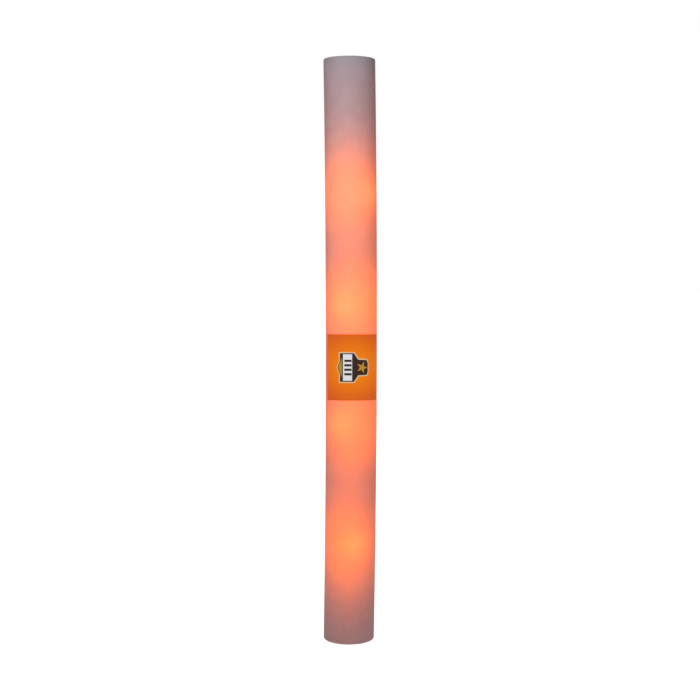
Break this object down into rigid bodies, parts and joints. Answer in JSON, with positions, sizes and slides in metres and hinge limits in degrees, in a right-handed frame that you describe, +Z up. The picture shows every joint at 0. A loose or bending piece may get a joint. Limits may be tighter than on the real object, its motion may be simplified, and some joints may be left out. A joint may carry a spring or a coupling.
{
  "type": "light-up foam baton",
  "caption": "Light-up baton: a white foam cylinder round a draw-out core of amber LEDs, with a push button in one end and a printed label.",
  "frame": {"origin": "centre of the plain bottom end face, on the baton's axis", "axes": "+Z up along the baton to the button end; -Y is the side that the label faces; +X is to the right of the label"},
  "size_m": [0.0353, 0.0354, 0.4],
  "materials": {
    "white_foam": "matt closed-cell polyethylene foam",
    "printed_label": "satin printed film",
    "clear_plastic": "clear extruded plastic",
    "white_plastic": "satin moulded",
    "button_plastic": "satin moulded",
    "black_plastic": "matt moulded",
    "plated_steel": "zinc plated",
    "nickel_plate": "nickel plated spring steel",
    "cell_steel": "nickel plated can",
    "green_board": "solder resist over glass laminate",
    "white_board": "white solder resist over glass laminate",
    "led_housing": "moulded reflector",
    "amber_lens": "amber cast resin, lit",
    "resistor_ceramic": "glazed",
    "red_insulation": "soft extruded",
    "black_insulation": "soft extruded"
  },
  "bodies": {
    "sleeve": {"foam_sleeve": "white_foam", "foam_plug": "white_foam", "front_label": "printed_label"},
    "light_core": {"clear_tube": "clear_plastic", "tube_foot": "white_plastic", "battery_case": "white_plastic", "negative_spring": "nickel_plate", "output_strip": "nickel_plate", "ground_strip": "nickel_plate", "positive_wires": "red_insulation", "negative_wires": "black_insulation", "button_cell_1": "cell_steel", "button_cell_2": "cell_steel", "button_cell_3": "cell_steel", "led_board_1": "white_board", "led_board_2": "white_board", "led_board_3": "white_board", "led_board_4": "white_board", "led_body_1": "led_housing", "led_body_2": "led_housing", "led_body_3": "led_housing", "led_body_4": "led_housing", "led_lens_1": "amber_lens", "led_lens_2": "amber_lens", "led_lens_3": "amber_lens", "led_lens_4": "amber_lens"},
    "cover": {"end_cover": "white_plastic", "cover_screws": "plated_steel", "circuit_board": "green_board", "switch_base": "black_plastic", "switch_frame": "plated_steel", "switch_pins": "plated_steel", "switch_dome": "plated_steel", "driver_chip": "black_plastic", "chip_resistors": "resistor_ceramic", "positive_spring": "nickel_plate"},
    "button": {"push_button": "button_plastic"},
    "plunger": {"switch_plunger": "black_plastic"}
  },
  "joints": [
    {"name": "core_slide", "type": "slide", "parent": "sleeve", "child": "light_core", "axis": [0, 0, 1], "range_m": [0, 0.4]},
    {"name": "cover_lift", "type": "slide", "parent": "light_core", "child": "cover", "axis": [0, 0, 1], "range_m": [0, 0.03]},
    {"name": "button_press", "type": "slide", "parent": "cover", "child": "button", "axis": [0, 0, -1], "range_m": [0, 0.0003], "stiffness_N_per_m": 3000, "springref_m": -0.0002},
    {"name": "plunger_press", "type": "slide", "parent": "cover", "child": "plunger", "axis": [0, 0, -1], "range_m": [0, 0.0003], "deforming": ["switch_dome"]}
  ],
  "couplings": [
    {"joint": "plunger_press", "follows": "button_press", "ratio": 1}
  ]
}
